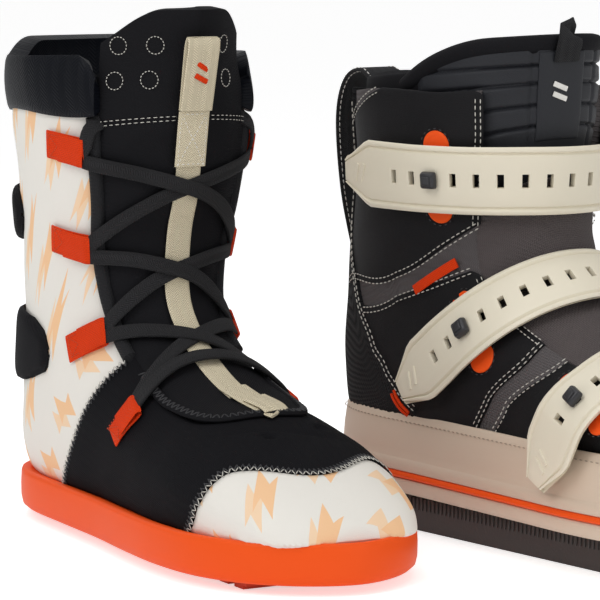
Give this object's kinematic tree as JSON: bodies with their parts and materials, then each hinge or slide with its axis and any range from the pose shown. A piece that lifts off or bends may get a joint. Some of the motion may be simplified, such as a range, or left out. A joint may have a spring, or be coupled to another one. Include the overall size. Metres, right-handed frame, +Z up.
{
  "type": "wakeboard boot set",
  "caption": "Laced liner boot standing beside the strapped outer boot it fits inside, the outer boot on a toothed board chassis.",
  "frame": {"origin": "middle of the chassis frame's underside, on the surface the outer boot stands on", "axes": "+Z up, out of the chassis; +Y towards the outer boot's toe; +X towards the outer side of the right foot"},
  "size_m": [0.2879, 0.413, 0.257],
  "materials": {
    "upper": null,
    "neoprene": null,
    "printed": null,
    "orange_rubber": null,
    "orange_trim": null,
    "webbing": null,
    "lace": null,
    "mesh": null,
    "rand_rubber": null,
    "strap_rubber": null,
    "hard_plastic": null,
    "steel": null
  },
  "bodies": {
    "outer_boot": {"outsole": "rand_rubber", "sole_stripe": "orange_rubber", "rand": "rand_rubber", "footbed": "lace", "toe_cap": "rand_rubber", "vamp": "upper", "quarter_outer": "upper", "quarter_inner": "upper", "heel_counter": "mesh", "gusset": "mesh", "tongue": "neoprene", "tongue_tab": "upper", "collar_lining": "neoprene", "side_tag": "orange_trim", "heel_piping": "orange_trim", "rear_pull_loop": "lace", "strap_upper": "strap_rubber", "strap_upper_hook": "hard_plastic", "strap_upper_eyelets": "orange_trim", "strap_middle": "strap_rubber", "strap_middle_hook": "hard_plastic", "strap_middle_eyelets": "orange_trim", "strap_lower": "strap_rubber", "strap_lower_hook": "hard_plastic", "strap_lower_eyelets": "orange_trim", "chassis_frame": "hard_plastic", "chassis_block_front": "hard_plastic", "chassis_block_rear": "hard_plastic", "chassis_screw_front_outer": "steel", "chassis_screw_front_inner": "steel", "chassis_screw_rear_outer": "steel", "chassis_screw_rear_inner": "steel"},
    "liner_boot": {"liner_outsole": "orange_rubber", "liner_tread_front": "orange_rubber", "liner_tread_heel": "orange_rubber", "liner_footbed": "lace", "liner_toe_panel": "printed", "liner_vamp": "neoprene", "liner_tongue": "neoprene", "liner_shaft": "printed", "liner_collar": "neoprene", "liner_tongue_strip": "webbing", "liner_heel_pad_upper": "hard_plastic", "liner_heel_pad_lower": "hard_plastic", "liner_lace": "lace", "liner_facing_outer": "neoprene", "liner_facing_inner": "neoprene", "liner_lace_loop_outer_one": "orange_trim", "liner_lace_loop_outer_two": "orange_trim", "liner_lace_loop_outer_three": "orange_trim", "liner_lace_loop_outer_four": "orange_trim", "liner_lace_loop_inner_one": "orange_trim", "liner_lace_loop_inner_two": "orange_trim", "liner_lace_loop_inner_three": "orange_trim", "liner_lace_loop_inner_four": "orange_trim"},
    "pull_loop": {"liner_pull_loop": "webbing"},
    "upper_strap_flap": {"strap_upper_flap": "strap_rubber"},
    "middle_strap_flap": {"strap_middle_flap": "strap_rubber"},
    "lower_strap_flap": {"strap_lower_flap": "strap_rubber"}
  },
  "joints": [
    {"name": "liner_lift", "type": "slide", "parent": "outer_boot", "child": "liner_boot", "axis": [0, 0, 1], "range_m": [0, 0.3]},
    {"name": "liner_pull_loop_flop", "type": "hinge", "parent": "liner_boot", "child": "pull_loop", "pos_m": [0.1473, -0.0947, 0.2095], "axis": [-0.9903, 0.1392, 0], "range_deg": [0, 50]},
    {"name": "strap_upper_open", "type": "hinge", "parent": "outer_boot", "child": "upper_strap_flap", "pos_m": [0.03124, 0.00431, 0.1752], "axis": [0.0575, 0.0693, 0.9959], "range_deg": [0, 70]},
    {"name": "strap_middle_open", "type": "hinge", "parent": "outer_boot", "child": "middle_strap_flap", "pos_m": [0.03242, 0.01766, 0.1254], "axis": [-0.168, -0.7495, 0.6403], "range_deg": [0, 70]},
    {"name": "strap_lower_open", "type": "hinge", "parent": "outer_boot", "child": "lower_strap_flap", "pos_m": [0.0353, 0.09265, 0.09981], "axis": [-0.0949, -0.953, 0.2879], "range_deg": [0, 70]}
  ]
}
